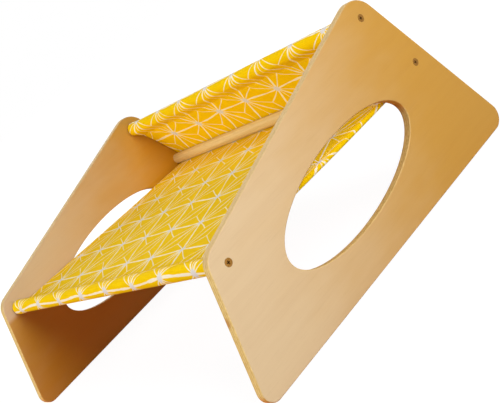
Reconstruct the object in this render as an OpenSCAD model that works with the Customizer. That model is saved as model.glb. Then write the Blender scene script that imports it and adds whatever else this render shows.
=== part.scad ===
// Cat hammock: two plywood side panels held apart by three dowels, with a sewn cloth sling.
// Millimetres. +Z is up, the front faces -Y, the dowels run along X and the panels stand on Z = 0.

/* [Side panels] */
// Thickness of the plywood
panel_t = 10; // [8:0.5:15]
// Length of the bottom edge between its sharp corners
base_l = 460.5; // [430:0.5:500]
// Height of the top front corner
front_h = 141.5; // [130:0.5:150]
// Distance that the top front corner is set back from the bottom front corner
front_lean = 44; // [30:0.5:55]
// Height of the top back corner
back_h = 225; // [205:0.5:245]
// Distance that the top back corner is set in from the bottom back corner
back_lean = 88; // [75:0.5:105]
// Radius of the bottom front corner
bottom_front_r = 13; // [6:1:20]
// Radius of the bottom back corner
bottom_back_r = 16; // [6:1:20]
// Radius of the top back corner
top_back_r = 28; // [15:1:35]
// Radius of the top front corner
top_front_r = 22; // [10:1:30]
// Radius of the rounded edges, along the outline and round the oval
edge_r = 1.5; // [1:0.25:3]

/* [Oval cut-out] */
// Long axis of the oval
oval_l = 227; // [180:1:245]
// Short axis of the oval
oval_w = 89; // [70:1:100]
// Rise of the long axis towards the back, in degrees
oval_tilt = 5.25; // [0:0.25:10]
// Distance of the centre in front of the middle of the bottom edge
oval_ahead = 4; // [-5:0.5:15]
// Height of the centre
oval_z = 88; // [80:0.5:92]

/* [Dowels] */
// Clear distance between the panels
clear_w = 500; // [400:1:600]
// Diameter of a dowel
dowel_d = 15; // [12:0.5:18]
// Chamfer on the ends of a dowel
dowel_chamfer = 0.8; // [0.2:0.1:1.5]
// Distance of the front dowel's centre from the top edge and from the front edge
front_inset = 21.5; // [18:0.5:24]
// Distance of the rear and middle dowels' centres from the back edge
back_inset = 21; // [17:0.5:24]
// Distance of the rear dowel's centre from the top edge
rear_top_inset = 22.5; // [20:0.5:28]
// Distance between the centres of the rear and middle dowels
back_dowel_gap = 81; // [70:0.5:90]

/* [Screws] */
// Diameter of the shank
screw_d = 4.5; // [4:0.1:5]
// Diameter of the thread's core
screw_core_d = 3; // [2.5:0.1:3.5]
// Overall length
screw_l = 40; // [30:1:50]
// Length of the point
screw_point_l = 5; // [3:0.5:7]
// Diameter of the countersunk head
screw_head_d = 8.6; // [8:0.1:9.4]
// Height of the straight rim round the head
screw_rim = 0.3; // [0.1:0.1:0.6]
// Span of the cross recess
recess_span = 4.4; // [3.5:0.1:5]
// Width of the wings of the cross recess
recess_w = 1.1; // [0.8:0.1:1.4]
// Depth of the cross recess
recess_depth = 2; // [1.2:0.1:2.4]
// Diameter of the cross recess at its floor
recess_floor_d = 1.6; // [1.2:0.1:2]
// Room round the shank in a panel, on the radius
shank_play = 0.25; // [0.1:0.05:0.5]
// Room round the head and the thread's core, on the radius
screw_play = 0.05; // [0.02:0.01:0.2]
// Depth of a pilot bore beyond the screw's point
pilot_spare = 2; // [1:0.5:5]

/* [Sling] */
// Thickness of the cloth
cloth_t = 1.2; // [0.8:0.1:2]
// Layers of cloth in a side hem
hem_layers = 3; // [2:1:4]
// Width of a side hem
hem_w = 12; // [8:0.5:20]
// Room between the cloth and the dowels
sleeve_play = 0.3; // [0.2:0.05:0.6]
// Distance of a sleeve's seam from its dowel's centre
seam_reach = 18; // [15:0.5:24]
// Gap between the sling and a panel
sling_side_gap = 1.5; // [0.5:0.5:5]

/* [Hidden] */
$fn = 64;
// Steps in a rounded edge, round a corner of a panel and round the oval
edge_steps = 3;
corner_steps = 16;
oval_steps = 72;
sleeve_steps = 30;
bend_steps = 14;
// Length that a cut runs on past a face
cut_past = 1;

function unit(v) = v / norm(v);
function along(angle) = [cos(angle), sin(angle)];
function angle_of(v) = atan2(v.y, v.x);
// Half of the angle between the edges that leave a corner for a and for b
function half_angle(a, corner, b) = acos(unit(a - corner) * unit(b - corner)) / 2;
// Centre of the arc of radius r that rounds a corner
function fillet_centre(a, corner, b, r) =
    corner + unit(unit(a - corner) + unit(b - corner)) * r / sin(half_angle(a, corner, b));
// Point at distance off_a from the edge towards a, and off_b from the edge towards b
function inset_point(a, corner, b, off_a, off_b) =
    corner + (unit(a - corner) * off_b + unit(b - corner) * off_a) / sin(2 * half_angle(a, corner, b));

// The panel's corners, as [y, z] from the bottom front one, going round from there to the back
panel_corners = [[0, 0], [base_l, 0], [base_l - back_lean, back_h], [front_lean, front_h]];
corner_radii = [bottom_front_r, bottom_back_r, top_back_r, top_front_r];
corner_count = len(panel_corners);
function corner(i) = panel_corners[(i + corner_count) % corner_count];
arc_centres = [for (i = [0 : corner_count - 1])
    fillet_centre(corner(i - 1), corner(i), corner(i + 1), corner_radii[i])];
// Middle of the panel's depth, which lies on Y = 0
mid_y = (arc_centres[0].x - bottom_front_r + arc_centres[1].x + bottom_back_r) / 2;

front_dowel_at = inset_point(corner(2), corner(3), corner(0), front_inset, front_inset);
rear_dowel_at = inset_point(corner(1), corner(2), corner(3), back_inset, rear_top_inset);
middle_dowel_at = rear_dowel_at + unit(corner(1) - corner(2)) * back_dowel_gap;
dowel_r = dowel_d / 2;

// Height and setback of a panel's rounded edge, from its straight wall up to the face
rounded_edge = [for (k = [0 : edge_steps])
    let (turn = 90 * k / edge_steps)
        [panel_t / 2 - edge_r * (1 - sin(turn)), edge_r * (1 - cos(turn))]];
function both_sides(levels) =
    concat([for (k = [len(levels) - 1 : -1 : 0]) [-levels[k].x, levels[k].y]], levels);
plate_levels = both_sides(rounded_edge);
oval_levels = both_sides(concat(rounded_edge, [[panel_t / 2 + cut_past, edge_r]]));

screw_head_cone = (screw_head_d - screw_d) / 2;
screw_neck = (screw_d - screw_core_d) / 2;
pilot_r = screw_core_d / 2 + screw_play;
pilot_depth = screw_l - panel_t + pilot_spare;

sling_w = clear_w - 2 * sling_side_gap;
hem_t = hem_layers * cloth_t;
sleeve_r = dowel_r + sleeve_play;
// The cloth runs from the front dowel under the middle one, then behind it up to the rear one
wrap_r = sleeve_r + cloth_t / 2;
to_middle = middle_dowel_at - front_dowel_at;
seat_angle = angle_of(to_middle) - asin(wrap_r / norm(to_middle));
down_back = middle_dowel_at - rear_dowel_at;
back_angle = angle_of(down_back) + asin(wrap_r / norm(down_back));
bend_from = seat_angle - 90;
bend_to = back_angle + 90;
// Angle from a sleeve's run of cloth to where its two sides leave the dowel for the seam
seam_turn = acos(sleeve_r / seam_reach);

function arc(centre, r, from, to, steps) =
    [for (i = [0 : steps]) centre + r * along(from + (to - from) * i / steps)];
// Outline of the panel, moved inwards by a setback
function panel_ring(setback) = [for (i = [0 : corner_count - 1])
    let (from = angle_of(corner(i) - corner(i - 1)) - 90)
        let (to = from + 180 - 2 * half_angle(corner(i - 1), corner(i), corner(i + 1)))
            each arc(arc_centres[i], corner_radii[i] - setback, from, to, corner_steps)];
// Outline of the oval round its centre, moved outwards by a setback
function oval_ring(setback) = [for (i = [0 : oval_steps - 1])
    let (turn = 360 * i / oval_steps)
        [(oval_l / 2 + setback) * cos(turn), (oval_w / 2 + setback) * sin(turn)]];
// Round part of a sleeve whose run of cloth leaves at an angle
function sleeve_arc(at, angle, r) = arc(at, r, angle + seam_turn, angle + 360 - seam_turn, sleeve_steps);
// Outer corner of a seam, on the side that turn gives
function seam_point(at, angle, turn) = at + seam_reach * along(angle) + cloth_t * along(angle + turn);
// Point on the run of cloth just past a seam, to one side of its middle line
function beside(at, angle, side) = at + (seam_reach + cloth_t) * along(angle) + side * along(angle + 90);

// Stands what lies on [y, z] up, with its thickness along X
module upright() {
    rotate([90, 0, 90])
        translate([-mid_y, 0, 0])
            children();
}

// Stands a [y, z] outline up and extrudes it along X, centred
module across(width) {
    upright()
        linear_extrude(height = width, center = true)
            children();
}

// Turns Z to point along +X at a dowel's centre line
module on_axis(at, x) {
    translate([x, at.x - mid_y, at.y])
        rotate([0, 90, 0])
            children();
}

// Solid through closed rings of points, one above the other
module loft(rings, heights) {
    count = len(rings[0]);
    last = len(rings) - 1;
    polyhedron(
        points = [for (k = [0 : last], point = rings[k]) [point.x, point.y, heights[k]]],
        faces = [
            [for (i = [0 : count - 1]) i],
            [for (i = [count - 1 : -1 : 0]) last * count + i],
            for (k = [0 : last - 1], i = [0 : count - 1])
                let (a = k * count + i, b = k * count + (i + 1) % count)
                    each [[a, a + count, b], [b, a + count, b + count]]
        ]);
}

// Panel without its holes, flat on [y, z] and centred across its thickness
module plate() {
    loft([for (level = plate_levels) panel_ring(level.y)], [for (level = plate_levels) level.x]);
}

module oval_cut() {
    translate([base_l / 2 - oval_ahead, oval_z, 0])
        rotate(oval_tilt)
            loft([for (level = oval_levels) oval_ring(level.y)], [for (level = oval_levels) level.x]);
}

// Countersunk hole, with the head's face at z = 0 and the screw running down
module screw_hole() {
    head_r = screw_head_d / 2 + screw_play;
    shank_r = screw_d / 2 + shank_play;
    rotate_extrude()
        polygon([
            [0, -panel_t - cut_past], [shank_r, -panel_t - cut_past],
            [shank_r, shank_r - head_r - screw_rim], [head_r, -screw_rim], [head_r, cut_past], [0, cut_past]
        ]);
}

// The panel on the +X side, with its screw heads facing outwards
module side_panel() {
    difference() {
        translate([(clear_w + panel_t) / 2, 0, 0])
            upright()
                difference() {
                    plate();
                    oval_cut();
                }
        for (at = [front_dowel_at, middle_dowel_at, rear_dowel_at])
            on_axis(at, clear_w / 2 + panel_t)
                screw_hole();
    }
}

module dowel(at) {
    difference() {
        on_axis(at, -clear_w / 2)
            rotate_extrude()
                polygon([
                    [0, 0], [dowel_r - dowel_chamfer, 0], [dowel_r, dowel_chamfer],
                    [dowel_r, clear_w - dowel_chamfer], [dowel_r - dowel_chamfer, clear_w], [0, clear_w]
                ]);
        for (x = [-clear_w / 2 - cut_past, clear_w / 2 - pilot_depth])
            on_axis(at, x)
                cylinder(r = pilot_r, h = pilot_depth + cut_past);
    }
}

// Wood screw with its head's face at z = 0, running down; its thread shows only as its core
module screw() {
    head_r = screw_head_d / 2;
    shank_r = screw_d / 2;
    core_r = screw_core_d / 2;
    difference() {
        rotate_extrude()
            polygon([
                [0, 0], [head_r, 0], [head_r, -screw_rim], [shank_r, -screw_rim - screw_head_cone],
                [shank_r, screw_neck - panel_t], [core_r, -panel_t], [core_r, screw_point_l - screw_l],
                [0, -screw_l]
            ]);
        intersection() {
            translate([0, 0, -recess_depth])
                cylinder(d1 = recess_floor_d, d2 = recess_span, h = recess_depth);
            for (turn = [0, 90])
                rotate(turn)
                    cube([recess_span, recess_w, 2 * recess_depth], center = true);
        }
    }
}

module right_screw(at) {
    on_axis(at, clear_w / 2 + panel_t)
        screw();
}

module left_screw(at) {
    mirror([1, 0, 0])
        right_screw(at);
}

// Outline of the cloth across its width, t thick along the seat, the bend and the back
module sling_outline(t) {
    outside = t - cloth_t / 2;
    difference() {
        polygon([
            each sleeve_arc(front_dowel_at, seat_angle, sleeve_r + cloth_t),
            seam_point(front_dowel_at, seat_angle, -seam_turn),
            beside(front_dowel_at, seat_angle, -outside),
            each arc(middle_dowel_at, sleeve_r + t, bend_from, bend_to, bend_steps),
            beside(rear_dowel_at, back_angle, outside),
            seam_point(rear_dowel_at, back_angle, seam_turn),
            each sleeve_arc(rear_dowel_at, back_angle, sleeve_r + cloth_t),
            seam_point(rear_dowel_at, back_angle, -seam_turn),
            beside(rear_dowel_at, back_angle, -cloth_t / 2),
            each arc(middle_dowel_at, sleeve_r, bend_to, bend_from, bend_steps),
            beside(front_dowel_at, seat_angle, cloth_t / 2),
            seam_point(front_dowel_at, seat_angle, seam_turn)
        ]);
        sleeve_inside(front_dowel_at, seat_angle);
        sleeve_inside(rear_dowel_at, back_angle);
    }
}

// Room inside a sleeve, which closes at the seam
module sleeve_inside(at, angle) {
    polygon([each sleeve_arc(at, angle, sleeve_r), at + seam_reach * along(angle)]);
}

module right_side_panel() { color("#DDB47E") side_panel(); }
module left_side_panel() { color("#DDB47E") mirror([1, 0, 0]) side_panel(); }
module front_dowel() { color("#DEAF70") dowel(front_dowel_at); }
module middle_dowel() { color("#DEAF70") dowel(middle_dowel_at); }
module rear_dowel() { color("#DEAF70") dowel(rear_dowel_at); }

module sling() {
    color("#EBB40A") {
        across(sling_w)
            sling_outline(cloth_t);
        for (side = [-1, 1])
            translate([side * (sling_w - hem_w) / 2, 0, 0])
                across(hem_w)
                    sling_outline(hem_t);
    }
}

module left_front_screw() { color("#8F6B3A") left_screw(front_dowel_at); }
module left_middle_screw() { color("#8F6B3A") left_screw(middle_dowel_at); }
module left_rear_screw() { color("#8F6B3A") left_screw(rear_dowel_at); }
module right_front_screw() { color("#8F6B3A") right_screw(front_dowel_at); }
module right_middle_screw() { color("#8F6B3A") right_screw(middle_dowel_at); }
module right_rear_screw() { color("#8F6B3A") right_screw(rear_dowel_at); }

left_side_panel();
right_side_panel();
front_dowel();
middle_dowel();
rear_dowel();
sling();
left_front_screw();
left_middle_screw();
left_rear_screw();
right_front_screw();
right_middle_screw();
right_rear_screw();
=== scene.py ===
# Cat hammock, dressed around its solids. The plywood panels, dowels and screws keep their shapes and
# get their finish; the sling is one sewn sheet of printed canvas. Metres, +Z up, the front faces -Y.
import cmath
import math

import bpy
import numpy as np
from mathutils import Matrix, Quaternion, Vector


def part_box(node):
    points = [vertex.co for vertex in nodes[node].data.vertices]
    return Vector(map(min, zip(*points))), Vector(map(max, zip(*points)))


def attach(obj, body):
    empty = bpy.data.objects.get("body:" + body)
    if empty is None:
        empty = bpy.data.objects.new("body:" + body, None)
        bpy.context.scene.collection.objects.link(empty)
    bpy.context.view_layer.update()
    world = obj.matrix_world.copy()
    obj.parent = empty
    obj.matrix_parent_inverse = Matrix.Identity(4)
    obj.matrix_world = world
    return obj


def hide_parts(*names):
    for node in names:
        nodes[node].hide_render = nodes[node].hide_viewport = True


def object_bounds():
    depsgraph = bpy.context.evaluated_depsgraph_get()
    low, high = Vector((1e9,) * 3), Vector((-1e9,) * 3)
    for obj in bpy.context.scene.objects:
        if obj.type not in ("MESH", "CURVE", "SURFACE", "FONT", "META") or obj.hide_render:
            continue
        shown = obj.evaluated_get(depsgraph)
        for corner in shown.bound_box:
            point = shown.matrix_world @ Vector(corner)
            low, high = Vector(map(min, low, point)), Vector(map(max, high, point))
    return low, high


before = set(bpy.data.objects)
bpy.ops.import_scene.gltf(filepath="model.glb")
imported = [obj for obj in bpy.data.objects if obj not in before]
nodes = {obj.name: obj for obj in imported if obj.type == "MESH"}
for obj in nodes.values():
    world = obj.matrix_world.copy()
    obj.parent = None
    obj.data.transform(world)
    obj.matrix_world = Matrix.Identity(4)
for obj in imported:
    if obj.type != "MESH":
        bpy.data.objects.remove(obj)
cad_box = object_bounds()

MM = 0.001
DOWELS = ("front_dowel", "middle_dowel", "rear_dowel")
PANELS = ("left_side_panel", "right_side_panel")
SCREWS = [side + "_" + name.replace("dowel", "screw") for side in ("left", "right") for name in DOWELS]

# Camera, as the photograph was taken: rolled, so that the object leans to the left in the picture
CAMERA_AT = (0.9919, -0.5816, 0.3669)
CAMERA_TARGET = (0.0013, 0.0550, 0.0711)
CAMERA_ROLL = -37.26
CAMERA_LENS = 71.145

# Plywood: its layers, a knot in the right panel's front edge, the heights between which painted shade
# warms the inner faces under the seat, and those above which painted shade greys the top edges
PLIES = 7
KNOT = (252 * MM, -202 * MM, 83 * MM)
KNOT_CORE = 2.5 * MM
KNOT_REACH = 7 * MM
PAINTED_SEAT_SHADE = (124 * MM, 112 * MM)
TOP_SHADE_FROM = (125 * MM, 140 * MM)

# Depth of the surfaces' fine relief
GRAIN_DEPTH = 0.12 * MM
TARNISH_DEPTH = 0.03 * MM
TWIST_DEPTH = 0.1 * MM
WEAVE_DEPTH = 0.12 * MM

# Screws: depth under the panel's face at which the recess is dark, and at which the head is bright
RECESS_DARK = 0.9 * MM
RECESS_RIM = 0.25 * MM

# Eased edges of dowels and screws, the angle that counts as an edge, and points that are one
DOWEL_EASE = 0.3 * MM
SCREW_EASE = 0.12 * MM
EASED_ANGLE = 40
SAME_POINT = 0.005 * MM

# Cloth of the sling: thickness, sleeves and seams, side hems
CLOTH_T = 0.75 * MM
LAYER = CLOTH_T + 0.06 * MM
YARN = 0.75 * MM
SLEEVE_PLAY = 0.2 * MM
SEAM_REACH = 18 * MM
TUCK = 10 * MM
HEM_W = 12 * MM
HEM_ROLL = 2.0 * MM
HEM_FLAT = 0.5 * MM
HEM_EASE = 8 * MM
HEM_RISE_FRONT = 25 * MM
HEM_RISE_REAR = 22 * MM

# Puckers: seam, the layer sewn under it, height and wander in mm, lengths of the waves in mm, and seed
PUCKERS = (
    ("front_seam", "front_under", 0.35, 0.0, (17, 23, 37, 61), 3),
    ("rear_seam", "rear_under", 0.9, 1.3, (21, 34, 59, 118), 5),
)
PUCKER_REACH = 10 * MM

# Slack: where it starts and ends, height in mm, and seed; lengths of its waves in mm, and their slant
SLACK = (("front_seam", "bend", 0.7, 8), ("back", "rear_seam", 0.5, 9))
SLACK_WAVES = (95, 160, 260)
SLACK_SLANT = 0.3

# Mesh of the cloth: steps along its path, columns across it, and rows smoothed beside the front seam
TURN_STEP = 1.2 * MM
SEAM_STEP = 1.5 * MM
BACK_STEP = 2 * MM
SEAT_STEP = 4 * MM
SEAM_ZONE = 12 * MM
FLAT_COLUMNS = 128
FOLD_COLUMNS = 6
UNDER_COLUMNS = 6
HOLLOW_ROWS = 5
HOLLOW_PASSES = 4

# Stitches: length on the cloth, distance from one to the next, thread, place beside a seam or hem, and
# columns and rows of the mesh left free at the ends
STITCH = 2.7 * MM
STITCH_STEP = 3.5 * MM
THREAD_R = 0.28 * MM
THREAD_SIDES = 6
SEAM_STITCH = 1.6 * MM
HEM_STITCH = 2.2 * MM
FREE_COLUMNS = 2
FREE_ROWS = 3
# Rings of one stitch: place along it from -1 to 1, size and rise, both as shares of the thread's radius
STITCH_RINGS = ((-1.0, 0.45, -0.5), (-0.8, 0.9, 0.2), (0.0, 1.0, 0.5),
                (0.8, 0.9, 0.2), (1.0, 0.45, -0.5))

# Print on the cloth: distance between stars along a row, between rows, their place, how far the lines
# wander, and the sizes of rays and dots with their soft edges
PRINT_PITCH = 62 * MM
PRINT_ROW = 57 * MM
PRINT_SHIFT = (8 * MM, 12.3 * MM)
PRINT_WANDER = 14 * MM
BOLD_RAY = 2.2 * MM
FINE_RAY = 1.0 * MM
RAY_EDGE = 0.25 * MM
STAR_DOT = 5.4 * MM
DOT_EDGE = 0.4 * MM
DOT_WOBBLE = 1.5 * MM

# Stage: half the floor's width, its gap under the feet, and lamps with their places, widths and powers
FLOOR_HALF = 6.0
FLOOR_GAP = 0.2 * MM
LIT_SPOT = (0, 0, 0.1)
LAMPS = (
    ("front", (-0.35, -2.0, 0.8), 1.2, 31),
    ("side", (1.5, -0.05, 0.8), 0.9, 18.2),
    ("top", (0.1, 0.2, 2.2), 1.2, 7),
    ("left", (-1.5, 0.5, 0.8), 1.2, 9),
    ("behind", (-0.3, 1.9, 0.9), 1.2, 8),
)


class Graph:
    """Shader nodes of one material, or of the world."""

    def __init__(self, owner):
        self.owner = owner
        owner.use_nodes = True
        self.tree = owner.node_tree
        self.tree.nodes.clear()

    def node(self, kind, inputs=(), **settings):
        made = self.tree.nodes.new("ShaderNode" + kind)
        for key, value in settings.items():
            setattr(made, key, value)
        for key, value in dict(inputs).items():
            if isinstance(value, bpy.types.NodeSocket):
                self.tree.links.new(value, made.inputs[key])
            else:
                made.inputs[key].default_value = value
        return made

    def math(self, operation, *values):
        return self.node("Math", enumerate(values), operation=operation).outputs[0]

    def vector(self, operation, *values):
        return self.node("VectorMath", enumerate(values), operation=operation).outputs[0]

    def scale(self, value, factor):
        return self.vector("MULTIPLY", value, factor)

    def noise(self, at, scale=1.0, detail=2.0, rough=0.5):
        inputs = {"Vector": at, "Scale": scale, "Detail": detail, "Roughness": rough}
        return self.node("TexNoise", inputs)

    def remap(self, value, low, high, to_low=0.0, to_high=1.0):
        """Smooth step from to_low at low to to_high at high, which may be the lower one."""
        inputs = {"Value": value, "From Min": low, "From Max": high, "To Min": to_low, "To Max": to_high}
        return self.node("MapRange", inputs, interpolation_type="SMOOTHSTEP").outputs[0]

    def mix(self, factor, a, b):
        return self.node("Mix", {0: factor, 6: a, 7: b}, data_type="RGBA").outputs[2]

    def bump(self, height, distance, strength):
        inputs = {"Height": height, "Distance": distance, "Strength": strength}
        return self.node("Bump", inputs).outputs[0]

    def finish(self, **inputs):
        """Principled surface; names take a space for each underscore."""
        inputs = {key.replace("_", " "): value for key, value in inputs.items()}
        shader = self.node("BsdfPrincipled", inputs)
        self.node("OutputMaterial", {"Surface": shader.outputs[0]})
        return self.owner


def new_material(name):
    return Graph(bpy.data.materials.new(name))


def srgb(r, g, b):
    """Colour from the usual 0 to 255 numbers."""
    def linear(c):
        c /= 255
        return c / 12.92 if c <= 0.04045 else ((c + 0.055) / 1.055) ** 2.4
    return (linear(r), linear(g), linear(b), 1.0)


# Wood, metal and thread

def panel_wood():
    g = new_material("birch_plywood")
    at = g.node("TexCoord").outputs["Object"]
    x, y, z = g.node("SeparateXYZ", {0: at}).outputs
    low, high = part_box("right_side_panel")
    middle, half = (low[0] + high[0]) / 2, (high[0] - low[0]) / 2
    # Tone of the veneer from pale at the top front to warm at the bottom back, with painted shade low on
    # inner faces
    drift = g.noise(g.scale(at, (3.0, 2.0, 4.0)), detail=1.0).outputs[0]
    mottle = g.noise(g.scale(at, (15.0, 18.0, 45.0)), detail=2.0).outputs[0]
    tone = g.math("ADD", y, g.math("MULTIPLY", drift, 0.10))
    tone = g.math("MULTIPLY_ADD", g.math("SUBTRACT", mottle, 0.5), 0.08, tone)
    # Painted shade: the inner faces turn warm and dark under the seat
    lower = g.remap(z, *PAINTED_SEAT_SHADE, 0.0, 0.28)
    inner_tone_and_shade = g.math("ADD", g.math("MULTIPLY_ADD", z, -0.35, tone), lower)
    outer_tone = g.math("MULTIPLY_ADD", z, -0.21, tone)
    face = g.mix(g.remap(outer_tone, -0.148, 0.182), srgb(232, 201, 157), srgb(211, 155, 60))
    inside_and_shade = g.mix(g.remap(inner_tone_and_shade, -0.145, 0.155), srgb(217, 190, 154), srgb(201, 144, 25))
    face = g.mix(g.math("LESS_THAN", g.math("ABSOLUTE", x), middle), face, inside_and_shade)
    # Figure along the panel's length, and fine pores
    bent = g.noise(g.scale(at, (1.0, 2.5, 5.0)), detail=1.0).outputs[1]
    grain_at = g.vector("MULTIPLY_ADD", bent, (0.0, 0.0, 0.02), at)
    figure = g.noise(g.scale(grain_at, (30.0, 5.0, 90.0)), detail=4.0, rough=0.6).outputs[0]
    pores = g.noise(g.scale(grain_at, (300.0, 30.0, 900.0)), detail=2.0).outputs[0]
    face = g.mix(g.remap(figure, 0.3, 0.75, 0.0, 0.07), face, srgb(176, 116, 62))
    face = g.mix(g.remap(pores, 0.55, 0.75, 0.0, 0.06), face, srgb(150, 96, 48))
    # Plies on the edges, every second one turned crosswise
    depth = g.math("ABSOLUTE", g.math("SUBTRACT", g.math("ABSOLUTE", x), middle))
    ply = 2 * half / PLIES
    turn = g.math("PINGPONG", depth, ply)
    cross = g.remap(turn, 0.40 * ply, 0.60 * ply, 1.0, 0.0)
    inner = g.remap(depth, half - 0.55 * ply, half, 1.0, 0.0)
    speck = g.noise(g.scale(at, (700.0, 300.0, 300.0)), detail=3.0).outputs[0]
    speck = g.remap(speck, 0.35, 0.7)
    end_grain = g.mix(speck, srgb(220, 184, 106), srgb(198, 158, 78))
    long_grain = g.mix(speck, srgb(229, 197, 129), srgb(212, 176, 103))
    colour = g.mix(inner, face, g.mix(cross, long_grain, end_grain))
    # A small knot in the plies at the front
    away = g.node("VectorMath", {0: at, 1: KNOT}, operation="DISTANCE").outputs["Value"]
    knot = g.math("MULTIPLY", inner, g.remap(away, KNOT_CORE, KNOT_REACH, 0.7, 0.0))
    colour = g.mix(knot, colour, srgb(176, 112, 28))
    # Painted shade: edges that face up, high on the panels, a little greyer
    facing = g.node("SeparateXYZ", {0: g.node("NewGeometry").outputs["Normal"]}).outputs[2]
    painted_top_shade = g.math("MULTIPLY", g.remap(facing, 0.15, 0.7, 0.0, 0.4), g.remap(z, *TOP_SHADE_FROM))
    colour = g.mix(painted_top_shade, colour, srgb(178, 150, 118))
    # Painted shade: edges that face down, as at the ends of the ovals, warmer, darker and duller
    painted_underside_shade = g.math("MULTIPLY", inner, g.remap(facing, 0.3, -0.45, 0.0, 0.8))
    colour = g.mix(painted_underside_shade, colour, srgb(208, 126, 28))
    shine = g.math("MULTIPLY_ADD", painted_underside_shade, -0.42, 0.35)
    rough = g.remap(figure, 0.3, 0.8, 0.42, 0.52)
    rough = g.math("MULTIPLY_ADD", inner, 0.2, rough)
    height = g.math("ADD", g.math("MULTIPLY", figure, 0.5), g.math("MULTIPLY", pores, 0.5))
    return g.finish(Base_Color=colour, Roughness=rough, Specular_IOR_Level=shine,
                    Normal=g.bump(height, GRAIN_DEPTH, 0.15))


def dowel_wood():
    g = new_material("beech_dowel")
    at = g.node("TexCoord").outputs["Object"]
    bent = g.noise(g.scale(at, (3.0, 8.0, 8.0)), detail=1.0).outputs[1]
    grain_at = g.vector("MULTIPLY_ADD", bent, (0.0, 0.006, 0.006), at)
    figure = g.noise(g.scale(grain_at, (6.0, 260.0, 260.0)), detail=3.0, rough=0.6).outputs[0]
    fleck = g.noise(g.scale(grain_at, (120.0, 1500.0, 1500.0)), detail=2.0).outputs[0]
    colour = g.mix(g.remap(figure, 0.3, 0.72), srgb(231, 204, 142), srgb(212, 178, 110))
    colour = g.mix(g.remap(fleck, 0.55, 0.75, 0.0, 0.3), colour, srgb(160, 108, 60))
    rough = g.remap(figure, 0.3, 0.8, 0.48, 0.6)
    return g.finish(Base_Color=colour, Roughness=rough, Normal=g.bump(figure, GRAIN_DEPTH, 0.6))


def screw_metal():
    g = new_material("yellow_zinc")
    at = g.node("TexCoord").outputs["Object"]
    x = g.node("SeparateXYZ", {0: at}).outputs[0]
    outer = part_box("right_side_panel")[1][0]
    tarnish = g.noise(g.scale(at, (900.0, 900.0, 900.0)), detail=3.0).outputs[0]
    colour = g.mix(g.remap(tarnish, 0.35, 0.7), srgb(166, 118, 52), srgb(134, 90, 34))
    sunk = g.remap(g.math("ABSOLUTE", x), outer - RECESS_DARK, outer - RECESS_RIM, 1.0, 0.0)
    colour = g.mix(g.math("MULTIPLY", sunk, 0.85), colour, srgb(60, 34, 10))
    rough = g.remap(tarnish, 0.3, 0.8, 0.34, 0.5)
    return g.finish(Base_Color=colour, Roughness=rough, Metallic=0.85,
                    Normal=g.bump(tarnish, TARNISH_DEPTH, 0.4))


def sewing_thread():
    g = new_material("sewing_thread")
    at = g.node("TexCoord").outputs["Object"]
    twist = g.noise(g.scale(at, (2500.0, 2500.0, 2500.0)), detail=1.0).outputs[0]
    colour = g.mix(twist, srgb(246, 204, 44), srgb(230, 180, 20))
    return g.finish(Base_Color=colour, Roughness=0.6, Normal=g.bump(twist, TWIST_DEPTH, 0.6))


# Printed canvas

def star_print(g, at):
    """Masks of a lattice of stars on the cloth's own plane: rays, and the dots where they meet."""
    pitch = PRINT_PITCH
    row = pitch * math.sqrt(3) / 2
    # Lines that wander, as drawn by hand
    drawn = g.noise(g.scale(at, (11.0, 11.0, 0.0)), detail=1.0).outputs[1]
    drawn = g.vector("SUBTRACT", drawn, (0.5, 0.5, 0.5))
    at = g.vector("ADD", at, g.scale(drawn, (PRINT_WANDER, PRINT_WANDER, 0.0)))
    # Pressed together along the cloth, so that each star has six neighbours at one distance
    x, y, _ = g.node("SeparateXYZ", {0: g.scale(at, (1.0, row / PRINT_ROW, 0.0))}).outputs

    def from_star(dx, dy):
        a = g.math("WRAP", g.math("ADD", x, dx), pitch / 2, -pitch / 2)
        b = g.math("WRAP", g.math("ADD", y, dy), row, -row)
        away = g.math("SQRT", g.math("ADD", g.math("MULTIPLY", a, a), g.math("MULTIPLY", b, b)))
        return a, b, away

    a0, b0, away0 = from_star(PRINT_SHIFT[0], PRINT_SHIFT[1])
    a1, b1, away1 = from_star(PRINT_SHIFT[0] + pitch / 2, PRINT_SHIFT[1] + row)
    first = g.math("LESS_THAN", away0, away1)
    a = g.math("MULTIPLY_ADD", first, g.math("SUBTRACT", a0, a1), a1)
    b = g.math("MULTIPLY_ADD", first, g.math("SUBTRACT", b0, b1), b1)
    away = g.math("MINIMUM", away0, away1)
    turn = g.math("ARCTAN2", b, a)
    hand = g.noise(g.scale(at, (60.0, 60.0, 0.0)), detail=2.0).outputs[0]

    def rays(count, width):
        off = g.math("PINGPONG", turn, math.pi / count)
        off = g.math("MULTIPLY", g.math("SINE", off), away)
        off = g.math("ADD", off, g.math("MULTIPLY", g.math("SUBTRACT", hand, 0.5), 1.2 * width))
        return g.remap(off, width / 2 + RAY_EDGE, width / 2 - RAY_EDGE)

    lines = g.math("MAXIMUM", rays(6, BOLD_RAY), rays(12, FINE_RAY))
    wobbled = g.math("MULTIPLY_ADD", hand, DOT_WOBBLE, away)
    dots = g.remap(wobbled, STAR_DOT + DOT_EDGE, STAR_DOT - DOT_EDGE)
    return lines, dots


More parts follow.
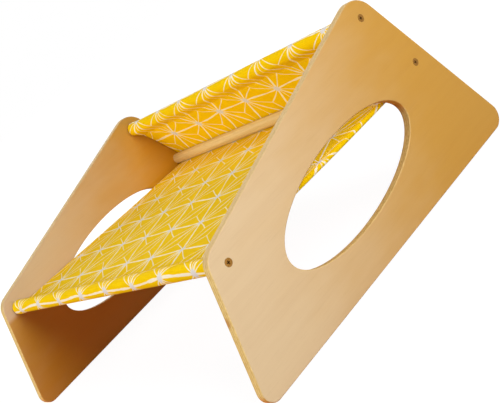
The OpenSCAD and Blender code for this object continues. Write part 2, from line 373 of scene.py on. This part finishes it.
def canvas(name, ground, shade, ink, dot, strength):
    """Woven cloth in two shades, with the print in ink and dot colours at a strength from 0 to 1."""
    g = new_material(name)
    at = g.node("UVMap", uv_map="cloth").outputs[0]
    lines, dots = star_print(g, at)
    # Yarns that vary a little, over and under each other
    u, v, _ = g.node("SeparateXYZ", {0: at}).outputs
    warp = g.noise(g.scale(at, (1400.0, 45.0, 0.0)), detail=2.0).outputs[0]
    weft = g.noise(g.scale(at, (45.0, 1400.0, 0.0)), detail=2.0).outputs[0]
    slub = g.math("ADD", g.math("MULTIPLY", warp, 0.5), g.math("MULTIPLY", weft, 0.5))
    colour = g.mix(g.remap(slub, 0.36, 0.64), ground, shade)
    colour = g.mix(g.math("MULTIPLY", lines, strength), colour, ink)
    colour = g.mix(g.math("MULTIPLY", dots, strength), colour, dot)
    over = g.math("SINE", g.math("MULTIPLY", u, math.pi / YARN))
    under = g.math("SINE", g.math("MULTIPLY", v, math.pi / YARN))
    weave = g.math("MULTIPLY_ADD", g.math("MULTIPLY", over, under), 0.35, slub)
    rough = g.remap(slub, 0.3, 0.7, 0.78, 0.92)
    return g.finish(Base_Color=colour, Roughness=rough, Specular_IOR_Level=0.02, Sheen_Weight=0.01,
                    Normal=g.bump(weave, WEAVE_DEPTH, 0.5))


# Sling: a grid of stations along the cloth and columns across it

def along(angle):
    return cmath.exp(1j * angle)


def centre(node):
    """Centre line of a dowel as y + iz, and its radius."""
    low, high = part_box(node)
    return complex((low[1] + high[1]) / 2, (low[2] + high[2]) / 2), (high[2] - low[2]) / 2


def line(a, b, step):
    count = math.ceil(abs(b - a) / step)
    return [a + (b - a) * k / count for k in range(count)]


def arc(at, r, start, end, step):
    count = math.ceil(abs(end - start) * r / step)
    return [at + r * along(start + (end - start) * k / count) for k in range(count)]


def smooth(t):
    t = np.clip(t, 0.0, 1.0)
    return t * t * (3 - 2 * t)


class Path:
    """Middle line of the cloth from the tuck under the seat to the tuck behind the back."""

    def __init__(self):
        self.points = []
        self.marks = {}

    def mark(self, name):
        self.marks[name] = len(self.points)

    def sleeve(self, name, at, r, start, end):
        """From start round a dowel and on to end, clockwise."""
        first = cmath.phase(start - at) - math.acos(r / abs(start - at))
        last = cmath.phase(end - at) + math.acos(r / abs(end - at)) - 2 * math.pi
        self.points += line(start, at + r * along(first), SEAM_STEP)
        self.mark(name + "_on")
        self.points += arc(at, r, first, last, TURN_STEP)
        self.mark(name + "_off")
        self.points += line(at + r * along(last), end, SEAM_STEP)


def sling_path():
    front, dowel_r = centre("front_dowel")
    middle, _ = centre("middle_dowel")
    rear, _ = centre("rear_dowel")
    r = dowel_r + SLEEVE_PLAY + CLOTH_T / 2
    seat_angle = cmath.phase(middle - front) - math.asin(r / abs(middle - front))
    back_angle = cmath.phase(middle - rear) + math.asin(r / abs(middle - rear))
    seat, back = along(seat_angle), along(back_angle)
    path = Path()
    seam = front + SEAM_REACH * seat
    under = seam - LAYER * 1j * seat
    path.points += line(under + TUCK * seat, under, BACK_STEP)
    path.mark("front_under")
    path.sleeve("front", front, r, under, seam)
    path.mark("front_seam")
    bend = middle + r * along(seat_angle - math.pi / 2)
    path.points += line(seam, seam + SEAM_ZONE * seat, SEAM_STEP)
    path.points += line(seam + SEAM_ZONE * seat, bend, SEAT_STEP)
    path.mark("bend")
    path.points += arc(middle, r, seat_angle - math.pi / 2, back_angle + math.pi / 2, TURN_STEP)
    path.mark("back")
    rise = middle + r * along(back_angle + math.pi / 2)
    seam = rear + SEAM_REACH * back
    path.points += line(rise, seam, BACK_STEP)
    path.mark("rear_seam")
    behind = seam + LAYER * 1j * back
    path.sleeve("rear", rear, r, seam, behind)
    path.mark("rear_under")
    path.points += line(behind, behind + TUCK * back, BACK_STEP)
    path.points.append(behind + TUCK * back)
    return path


def ripples(x, lengths, seed):
    """Sum of waves along x, about -1 to 1."""
    draw = np.random.default_rng(seed)
    total = np.zeros_like(x)
    for length in lengths:
        total += np.sin(2 * math.pi * x / (length * MM) + draw.uniform(0, 2 * math.pi))
    return total / len(lengths) ** 0.5


def sling_grid():
    """Points of the cloth's middle surface, its flat coordinates across and along, and the marked rows."""
    path = sling_path()
    p = np.array(path.points)
    # The cloth runs from the seat on to the front sleeve in a soft hollow
    first = path.marks["front_seam"] - HOLLOW_ROWS
    last = path.marks["front_seam"] + HOLLOW_ROWS + 1
    for _ in range(HOLLOW_PASSES):
        p[first:last] = (p[first - 1:last - 1] + 2 * p[first:last] + p[first + 1:last + 1]) / 4
    s = np.concatenate(([0.0], np.cumsum(np.abs(np.diff(p)))))
    tangent = np.gradient(p)
    normal = 1j * tangent / np.abs(tangent)
    m = {name: s[row] for name, row in path.marks.items()}
    # Radius of the rolled hems, and the room that they need on the sleeves and tucks
    roll = np.interp(
        s, [m["front_seam"], m["front_seam"] + HEM_RISE_FRONT,
            m["rear_seam"] - HEM_RISE_REAR, m["rear_seam"]],
        [HEM_FLAT, HEM_ROLL, HEM_ROLL, HEM_FLAT])
    lift = np.interp(
        s, [m["front_under"], m["front_on"], m["front_off"], m["front_seam"],
            m["rear_seam"], m["rear_on"], m["rear_off"], m["rear_under"]],
        [4 * HEM_FLAT, 2 * HEM_FLAT, 2 * HEM_FLAT, 0, 0, 2 * HEM_FLAT, 2 * HEM_FLAT, 4 * HEM_FLAT])
    low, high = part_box("sling")
    half = (high[0] - low[0]) / 2 - CLOTH_T / 2

    # Across: the flat cloth, then each edge rolled under and sewn down
    r = roll[:, None]
    fold = np.linspace(0, 1, FOLD_COLUMNS + 1)[1:] * math.pi
    under = np.linspace(0, 1, UNDER_COLUMNS + 1)[1:]
    middle = np.linspace(-1, 1, FLAT_COLUMNS + 1) * (half - r)
    reach = HEM_W - r
    edge_x = np.concatenate([(half - r) + r * np.sin(fold), (half - r) - reach * under], axis=1)
    edge_n = np.concatenate([r * (np.cos(fold) - 1), -2 * r + (2 * r - LAYER) * smooth(under)], axis=1)
    edge_u = np.concatenate([(half - r) + r * fold, (half - r) + r * math.pi + reach * under], axis=1)
    x = np.concatenate([-edge_x[:, ::-1], middle, edge_x], axis=1)
    n = np.concatenate([edge_n[:, ::-1], np.zeros_like(middle), edge_n], axis=1)
    u = np.concatenate([-edge_u[:, ::-1], middle, edge_u], axis=1)
    side = np.abs(u)
    n += lift[:, None] * smooth((side - (half - HEM_W - HEM_EASE)) / HEM_EASE)

    # Puckers along the seams, shared by the layers that are sewn together; the seam also wanders a little
    row = s[:, None]
    place = np.clip(x, -half, half)
    slide = np.zeros_like(n)
    for seam, twin, height, wander, lengths, seed in PUCKERS:
        wave = ripples(place, lengths, seed) * height * MM
        shift = ripples(place, lengths, seed + 20) * wander * MM
        for layer, sign in ((seam, 1), (twin, -1)):
            near = np.exp(-((row - m[layer]) / PUCKER_REACH) ** 2)
            n += sign * wave * near
            slide += sign * shift * near
    # Slack in the seat and the back, none where the cloth is held
    for start, end, height, seed in SLACK:
        t = np.clip((row - m[start]) / (m[end] - m[start]), 0, 1)
        wave = ripples(place + SLACK_SLANT * row, SLACK_WAVES, seed) * np.sin(math.pi * t)
        n += wave * height * MM
    yz = p[:, None] + (n - 1j * slide) * normal[:, None]
    grid = np.stack([x, yz.real, yz.imag], axis=-1)
    return grid, u, np.broadcast_to(row, u.shape), path.marks


def grid_normals(grid):
    across = np.gradient(grid, axis=1)
    down = np.gradient(grid, axis=0)
    normal = np.cross(across, down)
    return normal / np.linalg.norm(normal, axis=-1, keepdims=True)


def make_object(name, points, faces, material, smooth_faces=True):
    mesh = bpy.data.meshes.new(name)
    mesh.from_pydata([tuple(q) for q in points], [], faces)
    mesh.materials.append(material)
    if smooth_faces:
        mesh.polygons.foreach_set("use_smooth", [True] * len(mesh.polygons))
    obj = bpy.data.objects.new(name, mesh)
    bpy.context.scene.collection.objects.link(obj)
    return obj


def make_sling(grid, u, v):
    """Closed sheet: the printed side, the reverse and the cut edges round it."""
    rows, columns = u.shape
    normal = grid_normals(grid)
    top = (grid + normal * CLOTH_T / 2).reshape(-1, 3)
    reverse = (grid - normal * CLOTH_T / 2).reshape(-1, 3)
    index = np.arange(rows * columns).reshape(rows, columns)
    upper = np.stack([index[:-1, :-1], index[:-1, 1:], index[1:, 1:], index[1:, :-1]], axis=-1)
    upper = upper.reshape(-1, 4)
    lower = upper[:, ::-1] + rows * columns
    loop = np.concatenate([index[0, :-1], index[:-1, -1], index[-1, :0:-1], index[:0:-1, 0]])
    after = np.roll(loop, -1)
    rim = np.stack([after, loop, loop + rows * columns, after + rows * columns], axis=1)
    faces = np.concatenate([upper, lower, rim]).tolist()
    printed = canvas("printed_canvas", ground=srgb(248, 207, 7), shade=srgb(240, 193, 3),
                     ink=srgb(250, 238, 206), dot=srgb(226, 219, 214), strength=1.0)
    plain = canvas("canvas_reverse", ground=srgb(230, 188, 28), shade=srgb(218, 170, 16),
                   ink=srgb(242, 226, 172), dot=srgb(236, 222, 180), strength=0.5)
    obj = make_object("sling_cloth", np.concatenate([top, reverse]), faces, printed)
    obj.data.materials.append(plain)
    which = np.zeros(len(faces), dtype=np.int32)
    which[len(upper):len(upper) + len(lower)] = 1
    obj.data.polygons.foreach_set("material_index", which)
    flat = np.stack([u.ravel(), v.ravel()], axis=1)
    corners = np.empty(len(obj.data.loops), dtype=np.int32)
    obj.data.loops.foreach_get("vertex_index", corners)
    layer = obj.data.uv_layers.new(name="cloth")
    layer.data.foreach_set("uv", flat[corners % (rows * columns)].ravel())
    return obj


def stitch_row(course, out):
    """Stitches along a course of points, each a short thread that dips into the cloth at its ends."""
    run = np.concatenate(([0.0], np.cumsum(np.linalg.norm(np.diff(course, axis=0), axis=1))))
    count = int((run[-1] - STITCH) / STITCH_STEP)
    first = (run[-1] - count * STITCH_STEP) / 2

    def at(values, d):
        return np.array([np.interp(d, run, values[:, axis]) for axis in range(3)])

    rows = []
    for k in range(count + 1):
        middle = first + k * STITCH_STEP
        normal = at(out, middle)
        normal /= np.linalg.norm(normal)
        before = at(course, middle - STITCH / 2)
        after = at(course, middle + STITCH / 2)
        ahead = (after - before) / np.linalg.norm(after - before)
        beside = np.cross(normal, ahead)
        turns = np.arange(THREAD_SIDES) * 2 * math.pi / THREAD_SIDES
        ring = [math.cos(a) * beside + math.sin(a) * normal for a in turns]
        stitch = []
        for t, size, rise in STITCH_RINGS:
            spot = at(course, middle + t * STITCH / 2) + rise * THREAD_R * normal
            stitch.append([spot + size * THREAD_R * side for side in ring])
        rows.append(stitch)
    return np.array(rows)


def make_stitches(grid, u, v, marks):
    """Rows of stitches beside both sleeves' seams and along both hems, on both sides of the cloth."""
    normal = grid_normals(grid)
    station = v[:, 0]
    folded = FOLD_COLUMNS + UNDER_COLUMNS + FREE_COLUMNS
    across = slice(folded, u.shape[1] - folded)
    # Each course: points, normals, side of the cloth, and layers of cloth under the thread
    courses = []
    for name, step in (("front_seam", 1), ("rear_seam", -1)):
        row = int(np.argmin(np.abs(station - station[marks[name]] - step * SEAM_STITCH)))
        courses.append((grid[row, across], normal[row, across], 1, 1))
        courses.append((grid[row, across], normal[row, across], -1, 2))
    seat = slice(marks["front_seam"] + FREE_ROWS, marks["rear_seam"] - FREE_ROWS)
    spot = np.abs(grid[:, :, 0]).max() - HEM_W + HEM_STITCH
    for side in (-1, 1):
        column = int(np.argmin(np.abs(u[marks["bend"]] - side * spot)))
        courses.append((grid[seat, column], normal[seat, column], 1, 1))
        courses.append((grid[seat, column], normal[seat, column], -1, 2))
    points = np.concatenate([
        stitch_row(course + side * (layers - 0.5) * LAYER * out, side * out)
        for course, out, side, layers in courses])
    count, rings, sides, _ = points.shape
    faces = []
    for k in range(count):
        index = np.arange(rings * sides).reshape(rings, sides) + k * rings * sides
        turned = np.roll(index, -1, axis=1)
        quads = np.stack([index[:-1], turned[:-1], turned[1:], index[1:]], axis=-1).reshape(-1, 4)
        faces += quads.tolist() + [index[0, ::-1].tolist(), index[-1].tolist()]
    return make_object("sling_stitches", points.reshape(-1, 3), faces, sewing_thread())


grid, flat_u, flat_v, marks = sling_grid()
sling = make_sling(grid, flat_u, flat_v)
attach(sling, "root")
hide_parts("sling")
stitches = make_stitches(grid, flat_u, flat_v, marks)
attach(stitches, "root")

# Finish of the solids
finishes = {}
finishes.update(dict.fromkeys(PANELS, (panel_wood(), 0)))
finishes.update(dict.fromkeys(DOWELS, (dowel_wood(), DOWEL_EASE)))
finishes.update(dict.fromkeys(SCREWS, (screw_metal(), SCREW_EASE)))
for name, (material, ease) in finishes.items():
    obj = nodes[name]
    obj.data.materials.clear()
    obj.data.materials.append(material)
    weld = obj.modifiers.new("weld", "WELD")
    weld.merge_threshold = SAME_POINT
    if ease:
        bevel = obj.modifiers.new("eased_edges", "BEVEL")
        bevel.width = ease
        bevel.segments = 3
        bevel.limit_method = "ANGLE"
        bevel.angle_limit = math.radians(EASED_ANGLE)
    shade = obj.modifiers.new("shading", "WEIGHTED_NORMAL")
    shade.weight = 60


# Floor, world, lights and camera

def seen_directly(g):
    """1 for what the camera sees, directly or as a reflection."""
    path = g.node("LightPath").outputs
    return g.math("MAXIMUM", path["Is Camera Ray"], path["Is Glossy Ray"])


def floor_material():
    g = new_material("pale_floor")
    at = g.node("TexCoord").outputs["Object"]
    cloud = g.noise(at, 2.0).outputs[0]
    lit = g.node("BsdfDiffuse", {"Color": g.mix(cloud, (0.12, 0.12, 0.12, 1), (0.14, 0.14, 0.14, 1))})
    away = g.node("VectorMath", {0: at}, operation="LENGTH").outputs["Value"]
    glow = g.node("Emission", {"Color": (1, 1, 1, 1), "Strength": g.remap(away, 0.3, 0.9, 0.93, 1.0)})
    shown = g.node("AddShader", {0: lit.outputs[0], 1: glow.outputs[0]})
    # Painted bounce light: under the sling the floor reflects orange, standing in for the glow of the wood
    # and the cloth
    x, y, _ = g.node("SeparateXYZ", {0: at}).outputs
    wide, deep = cad_box[1][0], cad_box[1][1]
    between = g.remap(g.math("ABSOLUTE", x), wide - 0.02, wide + 0.01, 1.0, 0.0)
    beneath = g.math("MULTIPLY", between, g.remap(g.math("ABSOLUTE", y), deep, deep + 0.3, 1.0, 0.0))
    floor_bounce_with_painted_warmth = g.mix(beneath, (0.36, 0.36, 0.36, 1), (0.66, 0.15, 0.01, 1))
    bounce = g.node("BsdfDiffuse", {"Color": floor_bounce_with_painted_warmth})
    both = g.node("MixShader", {0: seen_directly(g), 1: bounce.outputs[0], 2: shown.outputs[0]})
    g.node("OutputMaterial", {"Surface": both.outputs[0]})
    return g.owner


corners = [(a * FLOOR_HALF, b * FLOOR_HALF, 0) for a, b in ((-1, -1), (1, -1), (1, 1), (-1, 1))]
floor = make_object("floor", corners, [(0, 1, 2, 3)], floor_material(), smooth_faces=False)
floor.location.z = -FLOOR_GAP

world = bpy.data.worlds.new("studio")
bpy.context.scene.world = world
sky = Graph(world)
soft = sky.node("Background", {"Color": (1.0, 0.99, 0.97, 1), "Strength": 0.08})
white = sky.node("Background", {"Color": (1, 1, 1, 1), "Strength": 1.0})
shown = sky.node("MixShader", {0: seen_directly(sky), 1: soft.outputs[0], 2: white.outputs[0]})
sky.node("OutputWorld", {"Surface": shown.outputs[0]})

for name, at, size, power in LAMPS:
    lamp = bpy.data.lights.new(name, "AREA")
    lamp.shape = "DISK"
    lamp.size = size
    lamp.energy = power
    obj = bpy.data.objects.new(name, lamp)
    obj.location = at
    obj.rotation_euler = (Vector(LIT_SPOT) - Vector(at)).to_track_quat("-Z", "Y").to_euler()
    bpy.context.scene.collection.objects.link(obj)

camera = bpy.data.cameras.new("camera")
camera.lens = CAMERA_LENS
camera.sensor_fit = "HORIZONTAL"
camera.sensor_width = 36
view = bpy.data.objects.new("camera", camera)
view.location = CAMERA_AT
aim = (Vector(CAMERA_TARGET) - Vector(CAMERA_AT)).to_track_quat("-Z", "Y")
view.rotation_mode = "QUATERNION"
view.rotation_quaternion = aim @ Quaternion((0, 0, 1), math.radians(CAMERA_ROLL))
bpy.context.scene.collection.objects.link(view)
bpy.context.scene.camera = view
bpy.context.scene.view_settings.view_transform = "Standard"
